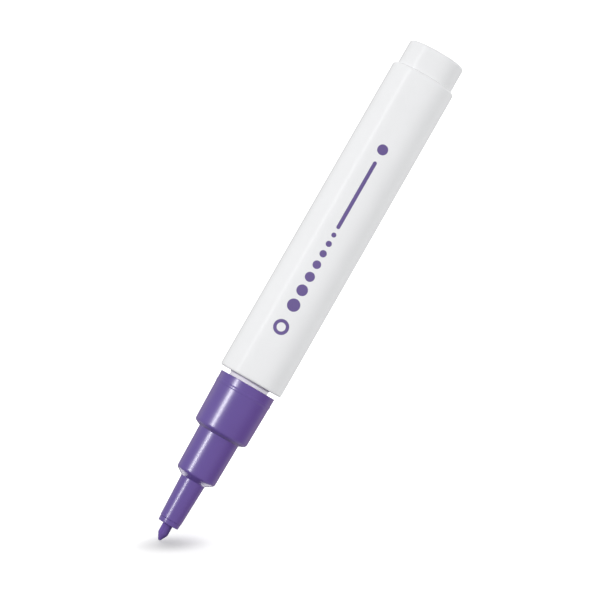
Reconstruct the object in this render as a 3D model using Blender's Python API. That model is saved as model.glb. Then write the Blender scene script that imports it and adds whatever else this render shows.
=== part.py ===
"""Paint marker with a pump valve, standing on its tail with the nib up.

Metres, +Z up. The origin is the middle of the flat tail face, and every piece is turned about the Z axis.
The nib is pushed in to lift the valve stem off its gasket, and a coil spring shuts the valve again.
"""

import math

import bmesh
import bpy
from mathutils import Vector

MM = 0.001

# Clearances between pieces
SEAT_GAP = 0.05 * MM
PRESS_GAP = 0.05 * MM
SLIDE_GAP = 0.05 * MM

# Barrel: the white tube that holds the paint, with a neck at its front
BARREL_DIAMETER = 15.2 * MM
BARREL_LENGTH = 76.85 * MM
BARREL_WALL = 1.4 * MM
BARREL_REAR_ROUNDING = 0.65 * MM
BARREL_FRONT_ROUNDING = 0.5 * MM
BARREL_FRONT_WALL = 2.0 * MM
BARREL_FUNNEL_LENGTH = 2.0 * MM
NECK_DIAMETER = 9.5 * MM
NECK_WALL = 1.0 * MM
NECK_LENGTH = 9.5 * MM
NECK_FILLET = 0.35 * MM
NECK_CHAMFER = 0.3 * MM
NECK_SHOWN = 1.0 * MM

# Tail plug: closes the barrel, and its post carries the cap while writing
POST_DIAMETER = 13.4 * MM
POST_LENGTH = 5.92 * MM
POST_ROUNDING = 0.6 * MM
PLUG_SPIGOT_LENGTH = 8.0 * MM
PLUG_WALL = 1.2 * MM
PLUG_FLOOR = 1.5 * MM
PLUG_BEAD_HEIGHT = 0.2 * MM
PLUG_BEAD_WIDTH = 0.9 * MM
PLUG_BEAD_CREST = 0.3 * MM
PLUG_BEAD_OFFSETS = (2.0 * MM, 5.0 * MM)
PLUG_CHAMFER = 0.5 * MM
GATE_DIAMETER = 3.0 * MM
GATE_DEPTH = 0.3 * MM

# Front section: the coloured collar, stage and tube that carry the nib
COLLAR_LENGTH = 12.85 * MM
COLLAR_REAR_DIAMETER = 13.35 * MM
COLLAR_FRONT_DIAMETER = 12.85 * MM
COLLAR_REAR_ROUNDING = 0.15 * MM
COLLAR_FRONT_ROUNDING = 0.85 * MM
COLLAR_FACE_RISE = 0.7 * MM
CAP_BEAD_OFFSET = 2.2 * MM
CAP_BEAD_WIDTH = 0.8 * MM
CAP_BEAD_CREST = 0.3 * MM
CAP_BEAD_HEIGHT = 0.07 * MM
STAGE_LENGTH = 11.35 * MM
STAGE_REAR_DIAMETER = 9.75 * MM
STAGE_FRONT_DIAMETER = 9.4 * MM
STAGE_ROUNDING = 0.8 * MM
STAGE_CONE_RISE = 1.15 * MM
STAGE_WALL = 1.2 * MM
STAGE_FRONT_WALL = 1.5 * MM
TUBE_LENGTH = 11.0 * MM
TUBE_REAR_DIAMETER = 5.85 * MM
TUBE_FRONT_DIAMETER = 5.1 * MM
TUBE_BORE_DIAMETER = 3.3 * MM
TUBE_BORE_CONE = 0.6 * MM
LIP_LENGTH = 1.05 * MM
LIP_REAR_DIAMETER = 4.95 * MM
LIP_FRONT_DIAMETER = 4.8 * MM
LIP_ROUNDING = 0.15 * MM
GUIDE_LENGTH = 5.0 * MM
FLUTE_COUNT = 4
FLUTE_WIDTH = 0.5 * MM
FLUTE_DEPTH = 0.35 * MM

# Nib: a fibre rod with a bullet point, and the fibre sleeve that holds spare paint round it
NIB_DIAMETER = 2.3 * MM
NIB_REACH = 3.95 * MM
NIB_BULLET_LENGTH = 1.65 * MM
NIB_POINT_DIAMETER = 0.5 * MM
NIB_SHOULDER_ROUNDING = 0.8 * MM
NIB_POINT_ROUNDING = 0.3 * MM
NIB_TAIL_CHAMFER = 0.2 * MM
NIB_TRAVEL = 2.0 * MM
BUFFER_LENGTH = 8.0 * MM
BUFFER_NIB_GAP = 0.2 * MM

# Valve: a housing in the neck, a gasket, a sprung stem and a cage that holds the spring
VALVE_FLANGE_THICKNESS = 1.2 * MM
VALVE_BODY_LENGTH = 10.0 * MM
VALVE_BODY_WALL = 0.75 * MM
VALVE_FACE_THICKNESS = 1.6 * MM
VALVE_PORT_DIAMETER = 2.8 * MM
VALVE_CHAMFER = 0.25 * MM
GASKET_BORE_DIAMETER = 3.2 * MM
GASKET_THICKNESS = 0.9 * MM
GASKET_ROUNDING = 0.2 * MM
STEM_ROD_DIAMETER = 1.9 * MM
STEM_HEAD_DIAMETER = 5.2 * MM
STEM_HEAD_THICKNESS = 1.2 * MM
STEM_HEAD_ROUNDING = 0.25 * MM
STEM_BOSS_DIAMETER = 2.6 * MM
STEM_BOSS_LENGTH = 3.0 * MM
STEM_END_CHAMFER = 0.2 * MM
STEM_REST_REACH = 3.25 * MM
SPRING_WIRE_DIAMETER = 0.4 * MM
SPRING_MEAN_DIAMETER = 3.8 * MM
SPRING_COILS = 8
SPRING_POINTS_PER_COIL = 10
SPRING_RADIAL_GAP = 0.25 * MM
CAGE_FLANGE_THICKNESS = 1.0 * MM
CAGE_CUP_LENGTH = 4.5 * MM
CAGE_CUP_WALL = 0.9 * MM
CAGE_FLOOR = 1.0 * MM
CAGE_ROUNDING = 0.4 * MM
CAGE_WINDOW_COUNT = 4
CAGE_WINDOW_WIDTH = 1.8 * MM
CAGE_WINDOW_MARGIN = 0.6 * MM

# Mixing ball: stirs the paint when the marker is shaken
BALL_DIAMETER = 6.0 * MM

# Colours
WHITE_PLASTIC = (0.80, 0.81, 0.83)
PURPLE_PLASTIC = (0.105, 0.06, 0.28)
PAINTED_FIBRE = (0.105, 0.055, 0.275)
BUFFER_FIBRE = (0.22, 0.16, 0.42)
VALVE_PLASTIC = (0.70, 0.70, 0.66)
STEM_PLASTIC = (0.75, 0.75, 0.72)
BLACK_RUBBER = (0.03, 0.03, 0.03)
SPRING_STEEL = (0.60, 0.60, 0.62)
BALL_STEEL = (0.62, 0.62, 0.64)

# Mesh fineness
LARGE_FACETS = 40
SMALL_FACETS = 28
ROUNDING_STEPS = 3
BALL_RINGS = 12
MERGE_DISTANCE = 0.0005 * MM
SHARP_ANGLE = math.radians(35)

# Heights of the seats, worked out from the lengths above
BARREL_REAR = POST_LENGTH + SEAT_GAP
BARREL_FRONT = BARREL_REAR + BARREL_LENGTH
NECK_END = BARREL_FRONT + NECK_LENGTH
SECTION_REAR = BARREL_FRONT + NECK_SHOWN
COLLAR_FRONT = SECTION_REAR + COLLAR_LENGTH
STAGE_FRONT = COLLAR_FRONT + STAGE_LENGTH
TUBE_FRONT = STAGE_FRONT + TUBE_LENGTH
NIB_TIP = TUBE_FRONT + NIB_REACH
VALVE_REAR = NECK_END + SEAT_GAP - VALVE_BODY_LENGTH
VALVE_FRONT = NECK_END + SEAT_GAP + VALVE_FLANGE_THICKNESS
GASKET_REAR = VALVE_FRONT - VALVE_FACE_THICKNESS - SEAT_GAP - GASKET_THICKNESS
STEM_HEAD_TOP = GASKET_REAR - SEAT_GAP
STEM_HEAD_BOTTOM = STEM_HEAD_TOP - STEM_HEAD_THICKNESS
STEM_REAR = STEM_HEAD_BOTTOM - STEM_BOSS_LENGTH
STEM_FRONT = VALVE_FRONT + STEM_REST_REACH
NIB_REAR = STEM_FRONT + SEAT_GAP
BUFFER_FRONT = STAGE_FRONT - STAGE_FRONT_WALL - SEAT_GAP
CAGE_REAR = VALVE_REAR - SEAT_GAP - CAGE_FLANGE_THICKNESS - CAGE_CUP_LENGTH
CAGE_RIM = STEM_HEAD_BOTTOM - NIB_TRAVEL - SEAT_GAP
BALL_CENTRE = PLUG_FLOOR + SEAT_GAP + BALL_DIAMETER / 2

# Radii that two pieces share
BARREL_BORE = BARREL_DIAMETER / 2 - BARREL_WALL
NECK_RADIUS = NECK_DIAMETER / 2
NECK_BORE = NECK_RADIUS - NECK_WALL
NIB_RADIUS = NIB_DIAMETER / 2
GUIDE_BORE = NIB_RADIUS + SLIDE_GAP
STAGE_BORE = STAGE_FRONT_DIAMETER / 2 - STAGE_WALL
VALVE_RADIUS = NECK_BORE - PRESS_GAP
CHAMBER_BORE = VALVE_RADIUS - VALVE_BODY_WALL
CAGE_BORE = (SPRING_MEAN_DIAMETER + SPRING_WIRE_DIAMETER) / 2 + SPRING_RADIAL_GAP


def clear_scene():
    for thing in list(bpy.data.objects):
        bpy.data.objects.remove(thing, do_unlink=True)


def finish(name, colour, roughness, metallic=0.0):
    """A material with one colour, for the piece of the same name."""
    material = bpy.data.materials.new(name + "_finish")
    material.use_nodes = True
    shader = material.node_tree.nodes["Principled BSDF"]
    shader.inputs["Base Color"].default_value = (*colour, 1.0)
    shader.inputs["Roughness"].default_value = roughness
    shader.inputs["Metallic"].default_value = metallic
    material.diffuse_color = (*colour, 1.0)
    return material


def rounded_corner(before, corner, after, rounding):
    """Points of the arc that rounds a corner, with a rounding limited by the shorter of its two sides."""
    back = before - corner
    ahead = after - corner
    half_angle = back.angle(ahead) / 2
    most = 0.45 * min(back.length, ahead.length)
    reach = min(rounding / math.tan(half_angle), most)
    radius = reach * math.tan(half_angle)
    middle = corner + (back.normalized() + ahead.normalized()).normalized() * radius / math.sin(half_angle)
    first = corner + back.normalized() * reach - middle
    last = corner + ahead.normalized() * reach - middle
    turn = first.angle_signed(last)
    points = []
    for step in range(ROUNDING_STEPS + 1):
        angle = -turn * step / ROUNDING_STEPS
        cosine = math.cos(angle)
        sine = math.sin(angle)
        spoke = Vector((first.x * cosine - first.y * sine, first.x * sine + first.y * cosine))
        points.append(middle + spoke)
    return points


def outline(corners):
    """Points along (radius, height) corners. A third number rounds its corner."""
    places = [Vector(corner[:2]) for corner in corners]
    points = []
    for index, corner in enumerate(corners):
        if len(corner) == 2:
            points.append(places[index])
            continue
        before = places[index - 1]
        after = places[(index + 1) % len(places)]
        points.extend(rounded_corner(before, places[index], after, corner[2]))
    return points


def bead(middle, width, crest, radius_at, rise):
    """Corners of a low ring round a piece: a ramp up, a flat crest and a ramp down."""
    low = middle - width / 2
    crest_low = middle - crest / 2
    crest_high = middle + crest / 2
    high = middle + width / 2
    return [
        (radius_at(low), low),
        (radius_at(crest_low) + rise, crest_low),
        (radius_at(crest_high) + rise, crest_high),
        (radius_at(high), high),
    ]


def add_piece(name, mesh, height, material, root):
    piece = bpy.data.objects.new(name, mesh)
    piece.data.materials.append(material)
    piece.location = (0.0, 0.0, height)
    piece.parent = root
    bpy.context.collection.objects.link(piece)
    return piece


def mesh_from(name, shape):
    mesh = bpy.data.meshes.new(name)
    bmesh.ops.recalc_face_normals(shape, faces=shape.faces)
    shape.to_mesh(mesh)
    shape.free()
    mesh.shade_smooth()
    mesh.set_sharp_from_angle(angle=SHARP_ANGLE)
    return mesh


def turned(name, corners, facets):
    """A mesh turned about Z. Corners that start on the axis make a solid, and the others make a ring."""
    shape = bmesh.new()
    vertices = [shape.verts.new((point.x, 0.0, point.y)) for point in outline(corners)]
    edges = [shape.edges.new(pair) for pair in zip(vertices, vertices[1:])]
    if corners[0][0] > 0:
        edges.append(shape.edges.new((vertices[-1], vertices[0])))
    bmesh.ops.spin(
        shape,
        geom=vertices + edges,
        cent=(0.0, 0.0, 0.0),
        axis=(0.0, 0.0, 1.0),
        angle=2 * math.pi,
        steps=facets,
    )
    bmesh.ops.remove_doubles(shape, verts=shape.verts, dist=MERGE_DISTANCE)
    return mesh_from(name, shape)


def box_cutter(name, size, centre, angle, root):
    """A hidden block, turned about Z, that a Boolean takes away."""
    shape = bmesh.new()
    bmesh.ops.create_cube(shape, size=1.0)
    bmesh.ops.scale(shape, vec=size, verts=shape.verts)
    bmesh.ops.translate(shape, vec=centre, verts=shape.verts)
    mesh = bpy.data.meshes.new(name)
    shape.to_mesh(mesh)
    shape.free()
    cutter = bpy.data.objects.new(name, mesh)
    cutter.rotation_euler = (0.0, 0.0, angle)
    cutter.parent = root
    cutter.hide_render = True
    cutter.display_type = "WIRE"
    bpy.context.collection.objects.link(cutter)
    return cutter


def cut(piece, cutter):
    modifier = piece.modifiers.new(cutter.name, "BOOLEAN")
    modifier.operation = "DIFFERENCE"
    modifier.object = cutter


def make_tail_plug(root):
    seal = BARREL_BORE - PRESS_GAP
    shank = seal - PLUG_BEAD_HEIGHT
    cup = shank - PLUG_WALL
    top = POST_LENGTH + PLUG_SPIGOT_LENGTH
    corners = [
        (0.0, GATE_DEPTH),
        (GATE_DIAMETER / 2, GATE_DEPTH),
        (GATE_DIAMETER / 2, 0.0),
        (POST_DIAMETER / 2, 0.0, POST_ROUNDING),
        (POST_DIAMETER / 2, POST_LENGTH),
        (shank, POST_LENGTH),
    ]
    for offset in PLUG_BEAD_OFFSETS:
        middle = POST_LENGTH + offset
        corners += bead(middle, PLUG_BEAD_WIDTH, PLUG_BEAD_CREST, lambda height: shank, PLUG_BEAD_HEIGHT)
    corners += [
        (shank, top - PLUG_CHAMFER),
        (shank - PLUG_CHAMFER, top),
        (cup, top),
        (cup, PLUG_FLOOR, PLUG_CHAMFER),
        (0.0, PLUG_FLOOR),
    ]
    mesh = turned("tail_plug", corners, LARGE_FACETS)
    add_piece("tail_plug", mesh, 0.0, finish("tail_plug", WHITE_PLASTIC, 0.32), root)


def make_barrel(root):
    radius = BARREL_DIAMETER / 2
    neck_end = BARREL_LENGTH + NECK_LENGTH
    wall = BARREL_LENGTH - BARREL_FRONT_WALL
    corners = [
        (BARREL_BORE, 0.0),
        (radius, 0.0, BARREL_REAR_ROUNDING),
        (radius, BARREL_LENGTH, BARREL_FRONT_ROUNDING),
        (NECK_RADIUS, BARREL_LENGTH, NECK_FILLET),
        (NECK_RADIUS, neck_end - NECK_CHAMFER),
        (NECK_RADIUS - NECK_CHAMFER, neck_end),
        (NECK_BORE, neck_end),
        (NECK_BORE, wall),
        (BARREL_BORE, wall - BARREL_FUNNEL_LENGTH),
    ]
    mesh = turned("barrel", corners, LARGE_FACETS)
    add_piece("barrel", mesh, BARREL_REAR, finish("barrel", WHITE_PLASTIC, 0.28), root)


def collar_radius(height):
    """The collar's radius at a height above its rear edge."""
    share = height / (COLLAR_LENGTH - COLLAR_FACE_RISE)
    return (COLLAR_REAR_DIAMETER + share * (COLLAR_FRONT_DIAMETER - COLLAR_REAR_DIAMETER)) / 2


def make_front_section(root):
    socket = NECK_RADIUS + PRESS_GAP
    shoulder = VALVE_FRONT + SEAT_GAP - SECTION_REAR
    stage_end = COLLAR_LENGTH + STAGE_LENGTH
    stage_wall = stage_end - STAGE_FRONT_WALL
    tube_end = stage_end + TUBE_LENGTH
    tube_bore = TUBE_BORE_DIAMETER / 2
    corners = [
        (socket, 0.0),
        (COLLAR_REAR_DIAMETER / 2, 0.0, COLLAR_REAR_ROUNDING),
        *bead(CAP_BEAD_OFFSET, CAP_BEAD_WIDTH, CAP_BEAD_CREST, collar_radius, CAP_BEAD_HEIGHT),
        (COLLAR_FRONT_DIAMETER / 2, COLLAR_LENGTH - COLLAR_FACE_RISE, COLLAR_FRONT_ROUNDING),
        (STAGE_REAR_DIAMETER / 2, COLLAR_LENGTH),
        (STAGE_FRONT_DIAMETER / 2, stage_end - STAGE_CONE_RISE, STAGE_ROUNDING),
        (TUBE_REAR_DIAMETER / 2, stage_end),
        (TUBE_FRONT_DIAMETER / 2, tube_end - LIP_LENGTH),
        (LIP_REAR_DIAMETER / 2, tube_end - LIP_LENGTH),
        (LIP_FRONT_DIAMETER / 2, tube_end, LIP_ROUNDING),
        (GUIDE_BORE, tube_end),
        (GUIDE_BORE, tube_end - GUIDE_LENGTH),
        (tube_bore, tube_end - GUIDE_LENGTH - TUBE_BORE_CONE),
        (tube_bore, stage_wall),
        (STAGE_BORE, stage_wall),
        (STAGE_BORE, shoulder),
        (socket, shoulder),
    ]
    mesh = turned("front_section", corners, LARGE_FACETS)
    material = finish("front_section", PURPLE_PLASTIC, 0.22)
    section = add_piece("front_section", mesh, SECTION_REAR, material, root)
    reach = 2 * (GUIDE_BORE + FLUTE_DEPTH)
    depth = GUIDE_LENGTH + TUBE_BORE_CONE
    for index in range(FLUTE_COUNT // 2):
        angle = 2 * math.pi * index / FLUTE_COUNT
        name = f"flute_cutter_{index + 1}"
        size = (reach, FLUTE_WIDTH, 2 * depth)
        cut(section, box_cutter(name, size, (0.0, 0.0, TUBE_FRONT), angle, root))


def make_nib(root):
    length = NIB_TIP - NIB_REAR
    corners = [
        (0.0, 0.0),
        (NIB_RADIUS - NIB_TAIL_CHAMFER, 0.0),
        (NIB_RADIUS, NIB_TAIL_CHAMFER),
        (NIB_RADIUS, length - NIB_BULLET_LENGTH, NIB_SHOULDER_ROUNDING),
        (NIB_POINT_DIAMETER / 2, length, NIB_POINT_ROUNDING),
        (0.0, length),
    ]
    mesh = turned("nib", corners, SMALL_FACETS)
    add_piece("nib", mesh, NIB_REAR, finish("nib", PAINTED_FIBRE, 0.75), root)


def make_ink_buffer(root):
    outside = STAGE_BORE - PRESS_GAP
    inside = NIB_RADIUS + BUFFER_NIB_GAP
    corners = [
        (inside, 0.0),
        (outside, 0.0),
        (outside, BUFFER_LENGTH),
        (inside, BUFFER_LENGTH),
    ]
    mesh = turned("ink_buffer", corners, SMALL_FACETS)
    height = BUFFER_FRONT - BUFFER_LENGTH
    add_piece("ink_buffer", mesh, height, finish("ink_buffer", BUFFER_FIBRE, 0.9), root)


def make_valve_body(root):
    top = VALVE_FRONT - VALVE_REAR
    port = VALVE_PORT_DIAMETER / 2
    corners = [
        (CHAMBER_BORE, 0.0),
        (VALVE_RADIUS - VALVE_CHAMFER, 0.0),
        (VALVE_RADIUS, VALVE_CHAMFER),
        (VALVE_RADIUS, VALVE_BODY_LENGTH),
        (NECK_RADIUS, VALVE_BODY_LENGTH),
        (NECK_RADIUS, top),
        (port, top),
        (port, top - VALVE_FACE_THICKNESS),
        (CHAMBER_BORE, top - VALVE_FACE_THICKNESS),
    ]
    mesh = turned("valve_body", corners, SMALL_FACETS)
    add_piece("valve_body", mesh, VALVE_REAR, finish("valve_body", VALVE_PLASTIC, 0.45), root)


def make_valve_gasket(root):
    outside = CHAMBER_BORE - PRESS_GAP
    inside = GASKET_BORE_DIAMETER / 2
    corners = [
        (inside, 0.0, GASKET_ROUNDING),
        (outside, 0.0, GASKET_ROUNDING),
        (outside, GASKET_THICKNESS, GASKET_ROUNDING),
        (inside, GASKET_THICKNESS, GASKET_ROUNDING),
    ]
    mesh = turned("valve_gasket", corners, SMALL_FACETS)
    add_piece("valve_gasket", mesh, GASKET_REAR, finish("valve_gasket", BLACK_RUBBER, 0.7), root)


def make_valve_stem(root):
    boss = STEM_BOSS_DIAMETER / 2
    head = STEM_HEAD_DIAMETER / 2
    rod = STEM_ROD_DIAMETER / 2
    head_top = STEM_HEAD_TOP - STEM_REAR
    length = STEM_FRONT - STEM_REAR
    corners = [
        (0.0, 0.0),
        (boss - STEM_END_CHAMFER, 0.0),
        (boss, STEM_END_CHAMFER),
        (boss, STEM_BOSS_LENGTH),
        (head, STEM_BOSS_LENGTH),
        (head, head_top, STEM_HEAD_ROUNDING),
        (rod, head_top),
        (rod, length - STEM_END_CHAMFER),
        (rod - STEM_END_CHAMFER, length),
        (0.0, length),
    ]
    mesh = turned("valve_stem", corners, SMALL_FACETS)
    add_piece("valve_stem", mesh, STEM_REAR, finish("valve_stem", STEM_PLASTIC, 0.4), root)


def make_spring_cage(root):
    spigot = CHAMBER_BORE - PRESS_GAP
    cup = CAGE_BORE + CAGE_CUP_WALL
    flange_top = CAGE_CUP_LENGTH + CAGE_FLANGE_THICKNESS
    rim = CAGE_RIM - CAGE_REAR
    corners = [
        (0.0, 0.0),
        (cup, 0.0, CAGE_ROUNDING),
        (cup, CAGE_CUP_LENGTH),
        (VALVE_RADIUS, CAGE_CUP_LENGTH),
        (VALVE_RADIUS, flange_top),
        (spigot, flange_top),
        (spigot, rim),
        (CAGE_BORE, rim),
        (CAGE_BORE, CAGE_FLOOR),
        (0.0, CAGE_FLOOR),
    ]
    mesh = turned("spring_cage", corners, SMALL_FACETS)
    cage = add_piece("spring_cage", mesh, CAGE_REAR, finish("spring_cage", VALVE_PLASTIC, 0.45), root)
    low = CAGE_REAR + CAGE_FLOOR + CAGE_WINDOW_MARGIN
    high = CAGE_REAR + CAGE_CUP_LENGTH - CAGE_WINDOW_MARGIN
    size = (4 * cup, CAGE_WINDOW_WIDTH, high - low)
    centre = (0.0, 0.0, (low + high) / 2)
    for index in range(CAGE_WINDOW_COUNT // 2):
        angle = math.pi * (2 * index + 1) / CAGE_WINDOW_COUNT
        cut(cage, box_cutter(f"window_cutter_{index + 1}", size, centre, angle, root))


def spring_points(low, high):
    """The middle line of the coil spring, from its bottom to its top."""
    radius = SPRING_MEAN_DIAMETER / 2
    count = SPRING_COILS * SPRING_POINTS_PER_COIL
    points = []
    for index in range(count + 1):
        angle = 2 * math.pi * index / SPRING_POINTS_PER_COIL
        height = low + (high - low) * index / count
        points.append(Vector((radius * math.cos(angle), radius * math.sin(angle), height)))
    return points


def least_coil_gap(points):
    """The least clear distance from one turn of the spring to the next."""
    half_turn = SPRING_POINTS_PER_COIL // 2
    nearest = math.inf
    for index, point in enumerate(points):
        for other in points[index + half_turn :]:
            nearest = min(nearest, (other - point).length)
    return nearest - SPRING_WIRE_DIAMETER


def make_valve_spring(root):
    half_wire = SPRING_WIRE_DIAMETER / 2
    low = CAGE_REAR + CAGE_FLOOR + SEAT_GAP + half_wire
    high = STEM_HEAD_BOTTOM - SEAT_GAP - half_wire
    points = spring_points(0.0, high - low)
    curve = bpy.data.curves.new("valve_spring", "CURVE")
    curve.dimensions = "3D"
    curve.bevel_depth = half_wire
    curve.bevel_resolution = 1
    curve.use_fill_caps = True
    spline = curve.splines.new("POLY")
    spline.points.add(len(points) - 1)
    for target, point in zip(spline.points, points):
        target.co = (*point, 1.0)
    add_piece("valve_spring", curve, low, finish("valve_spring", SPRING_STEEL, 0.25, 1.0), root)
    print(f"valve_spring: least gap between turns {least_coil_gap(points) / MM:.2f} mm")


def make_mixing_ball(root):
    shape = bmesh.new()
    bmesh.ops.create_uvsphere(
        shape,
        u_segments=2 * BALL_RINGS,
        v_segments=BALL_RINGS,
        radius=BALL_DIAMETER / 2,
    )
    mesh = mesh_from("mixing_ball", shape)
    add_piece("mixing_ball", mesh, BALL_CENTRE, finish("mixing_ball", BALL_STEEL, 0.18, 1.0), root)


def main():
    clear_scene()
    root = bpy.data.objects.new("paint_marker", None)
    bpy.context.collection.objects.link(root)
    make_tail_plug(root)
    make_barrel(root)
    make_front_section(root)
    make_nib(root)
    make_ink_buffer(root)
    make_valve_body(root)
    make_valve_gasket(root)
    make_valve_stem(root)
    make_spring_cage(root)
    make_valve_spring(root)
    make_mixing_ball(root)
    ball_run = CAGE_REAR - SEAT_GAP - (BALL_CENTRE + BALL_DIAMETER / 2)
    print(f"overall length {NIB_TIP / MM:.2f} mm, nib travel {NIB_TRAVEL / MM:.2f} mm")
    print(f"ball run {ball_run / MM:.2f} mm, spring seat at {(CAGE_REAR + CAGE_FLOOR) / MM:.2f} mm")


main()
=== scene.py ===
# %% [markdown]
# # A paint marker, dressed for its portrait
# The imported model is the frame: solid pieces at their real size, standing on the tail with the nib up.
# This lesson puts smooth, finished pieces over the ones that show, gives every piece a surface and lights
# the whole as the photograph does.

# %% Load the frame
import math

import bmesh
import bpy
from mathutils import Matrix, Vector


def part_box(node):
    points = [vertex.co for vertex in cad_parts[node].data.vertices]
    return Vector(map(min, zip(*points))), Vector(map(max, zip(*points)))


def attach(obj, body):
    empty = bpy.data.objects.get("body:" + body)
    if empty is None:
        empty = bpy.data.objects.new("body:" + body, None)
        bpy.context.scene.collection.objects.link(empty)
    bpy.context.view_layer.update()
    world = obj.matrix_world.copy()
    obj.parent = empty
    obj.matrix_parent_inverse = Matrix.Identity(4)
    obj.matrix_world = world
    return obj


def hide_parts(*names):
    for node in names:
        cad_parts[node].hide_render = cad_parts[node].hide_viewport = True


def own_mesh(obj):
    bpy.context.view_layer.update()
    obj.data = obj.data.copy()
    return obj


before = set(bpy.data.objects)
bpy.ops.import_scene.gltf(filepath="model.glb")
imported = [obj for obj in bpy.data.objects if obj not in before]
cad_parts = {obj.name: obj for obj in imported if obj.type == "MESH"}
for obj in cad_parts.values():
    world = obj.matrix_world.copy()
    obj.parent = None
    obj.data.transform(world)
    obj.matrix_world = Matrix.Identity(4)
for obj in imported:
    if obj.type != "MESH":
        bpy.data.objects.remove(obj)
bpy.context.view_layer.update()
MM = 0.001
print("nodes in the frame:", sorted(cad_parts))

# %% [markdown]
# ## Where things are
# A new piece must lie where the solid one lies, so the main sizes are read from the frame's boxes.
# Heights run along Z, from the tail face at zero to the point of the nib.

# %% Read the main sizes
plug_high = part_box("tail_plug")[1]
barrel_low, barrel_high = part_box("barrel")
front_low, front_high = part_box("front_section")
nib_low, nib_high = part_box("nib")
spring_low, spring_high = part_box("valve_spring")
ball_low, ball_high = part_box("mixing_ball")
print(f"marker {nib_high.z / MM:.2f} mm long, barrel {2 * barrel_high.x / MM:.2f} mm across")

# %% [markdown]
# ## A way to turn a piece
# Nearly every piece here is round, as if it came off a lathe. A lathe needs half an outline, so the helper
# draws one at +X with extruded points, rounds its corners with a vertex bevel and spins it about Z.
# A stack of cylinders would be quicker, but it would have no fillets and no hollow inside.

# %% Turning helpers
TURN_STEPS = 144
CORNER_STEPS = 6
LONGEST_REACH = 0.49
SMOOTH_BELOW = math.radians(38)
PENCIL = 0.05 * MM
SAME_PLACE = 0.0004 * MM


def start_clean():
    """Leaves edit mode and deselects everything, so that an operator acts on the new piece alone."""
    if bpy.context.mode != "OBJECT":
        bpy.ops.object.mode_set(mode="OBJECT")
    bpy.ops.object.select_all(action="DESELECT")


def select_points(piece, test):
    """Selects the points that pass a test of their place, in edit mode."""
    bpy.ops.mesh.select_mode(type="VERT")
    bpy.ops.mesh.select_all(action="DESELECT")
    shape = bmesh.from_edit_mesh(piece.data)
    for point in shape.verts:
        point.select = test(point.co)
    shape.select_flush_mode()
    bmesh.update_edit_mesh(piece.data)


def at_place(radius, height):
    place = Vector((radius, 0.0, height))
    return lambda point: (point - place).length < SAME_PLACE


def bevel_reach(before, corner, after, rounding):
    """How far from a corner its rounding starts, kept under half of its shorter side."""
    back = Vector(before[:2]) - Vector(corner[:2])
    ahead = Vector(after[:2]) - Vector(corner[:2])
    reach = rounding / math.tan(back.angle(ahead) / 2)
    return min(reach, LONGEST_REACH * back.length, LONGEST_REACH * ahead.length)


def draw_outline(name, corners, closed):
    """Draws (radius, height) corners at +X. A third number is the radius that rounds its corner."""
    start_clean()
    start = (corners[0][0], 0.0, corners[0][1])
    bpy.ops.mesh.primitive_circle_add(vertices=3, radius=PENCIL, location=start)
    piece = bpy.context.active_object
    piece.name = name
    piece.data.name = name
    bpy.ops.object.transform_apply(location=True, rotation=True, scale=True)
    bpy.ops.object.mode_set(mode="EDIT")
    bpy.ops.mesh.select_all(action="SELECT")
    bpy.ops.mesh.merge(type="CENTER")
    for here, there in zip(corners, corners[1:]):
        step = (there[0] - here[0], 0.0, there[1] - here[1])
        bpy.ops.mesh.extrude_vertices_move(TRANSFORM_OT_translate={"value": step})
    if closed:
        ends = [at_place(*corners[0][:2]), at_place(*corners[-1][:2])]
        select_points(piece, lambda point: ends[0](point) or ends[1](point))
        bpy.ops.mesh.edge_face_add()
    for index, corner in enumerate(corners):
        if len(corner) < 3:
            continue
        after = corners[(index + 1) % len(corners)]
        reach = bevel_reach(corners[index - 1], corner, after, corner[2])
        select_points(piece, at_place(*corner[:2]))
        bpy.ops.mesh.bevel(offset=reach, segments=CORNER_STEPS, profile=0.5, affect="VERTICES")
    return piece


def settle_shading(piece):
    """Smooths all but the sharp edges. Large faces lead, so that small roundings don't bend their shine."""
    bpy.ops.object.shade_smooth_by_angle(angle=SMOOTH_BELOW)
    lead = piece.modifiers.new("lead", "WEIGHTED_NORMAL")
    lead.mode = "FACE_AREA"
    lead.keep_sharp = True
    bpy.ops.object.modifier_apply(modifier=lead.name)


def close_up(piece):
    """Merges doubled points, turns the faces outwards and settles the shading."""
    bpy.ops.mesh.select_all(action="SELECT")
    bpy.ops.mesh.remove_doubles(threshold=SAME_PLACE)
    bpy.ops.mesh.normals_make_consistent(inside=False)
    bpy.ops.object.mode_set(mode="OBJECT")
    settle_shading(piece)
    print(f"{piece.name}: {len(piece.data.polygons)} faces, {piece.dimensions.z / MM:.2f} mm tall")


def turn(name, corners, closed=True):
    """A turned piece: a closed outline makes a ring, and one that starts and ends on the axis a solid."""
    piece = draw_outline(name, corners, closed)
    bpy.ops.mesh.select_all(action="SELECT")
    bpy.ops.mesh.spin(steps=TURN_STEPS, angle=2 * math.pi, center=(0.0, 0.0, 0.0), axis=(0.0, 0.0, 1.0))
    close_up(piece)
    return piece


def dress(piece, node, body):
    """The piece stands for a solid of the frame and moves with its body."""
    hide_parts(node)
    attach(piece, body)


# %% [markdown]
# ## The barrel
# The barrel is a moulded white tube. Its rear edge is rounded, its front closes down to a narrow neck that
# goes into the coloured section, and a little of that neck shows as a pale ring between the two.

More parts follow.
